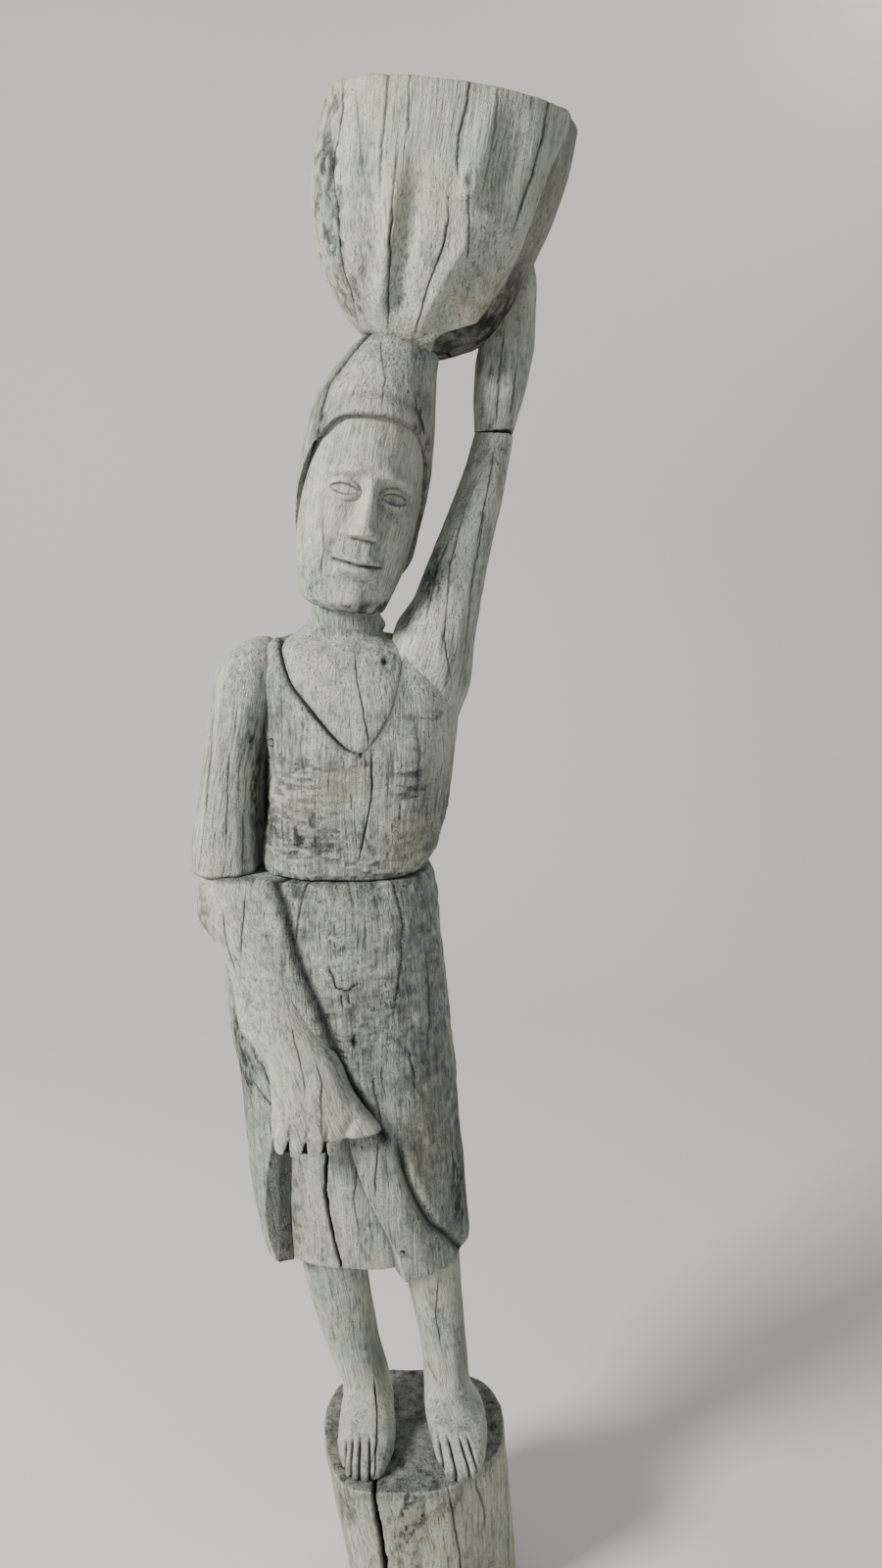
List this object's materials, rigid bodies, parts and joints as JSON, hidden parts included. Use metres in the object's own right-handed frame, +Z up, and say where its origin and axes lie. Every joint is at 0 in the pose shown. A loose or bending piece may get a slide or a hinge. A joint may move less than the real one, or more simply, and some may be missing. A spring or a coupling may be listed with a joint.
{
  "type": "carved wooden figure",
  "caption": "Weathered hand-carved wooden woman in a wrapped skirt, standing on a log stump and steadying a deep tub on her head with one raised arm.",
  "frame": {"origin": "centre of the stump's flat underside", "axes": "+Z up, -Y the way the figure faces, +X towards the figure's own left (its raised arm)"},
  "size_m": [0.2807, 0.1646, 1.1504],
  "materials": {
    "weathered_wood": "bare, sun-bleached grey-green, chiselled and cracked",
    "pale_wood": "bare, smoother and paler from handling",
    "stained_wood": "bare, damp-stained dark grey with pale dry patches",
    "peg_wood": "end grain, dark around the edge",
    "rusted_iron": "rusted dark brown"
  },
  "bodies": {
    "root": {"stump_base": "stained_wood", "right_leg": "weathered_wood", "left_leg": "weathered_wood", "underskirt": "pale_wood", "skirt_wrapper": "weathered_wood", "blouse_torso": "weathered_wood", "neck_and_chest": "weathered_wood", "head": "weathered_wood", "headscarf": "weathered_wood", "head_tub": "weathered_wood", "right_sleeve": "weathered_wood", "right_forearm_hand": "pale_wood", "left_sleeve": "weathered_wood", "left_forearm_hand": "pale_wood", "chest_peg": "peg_wood", "skirt_peg": "peg_wood", "tub_nail": "rusted_iron"}
  },
  "joints": []
}
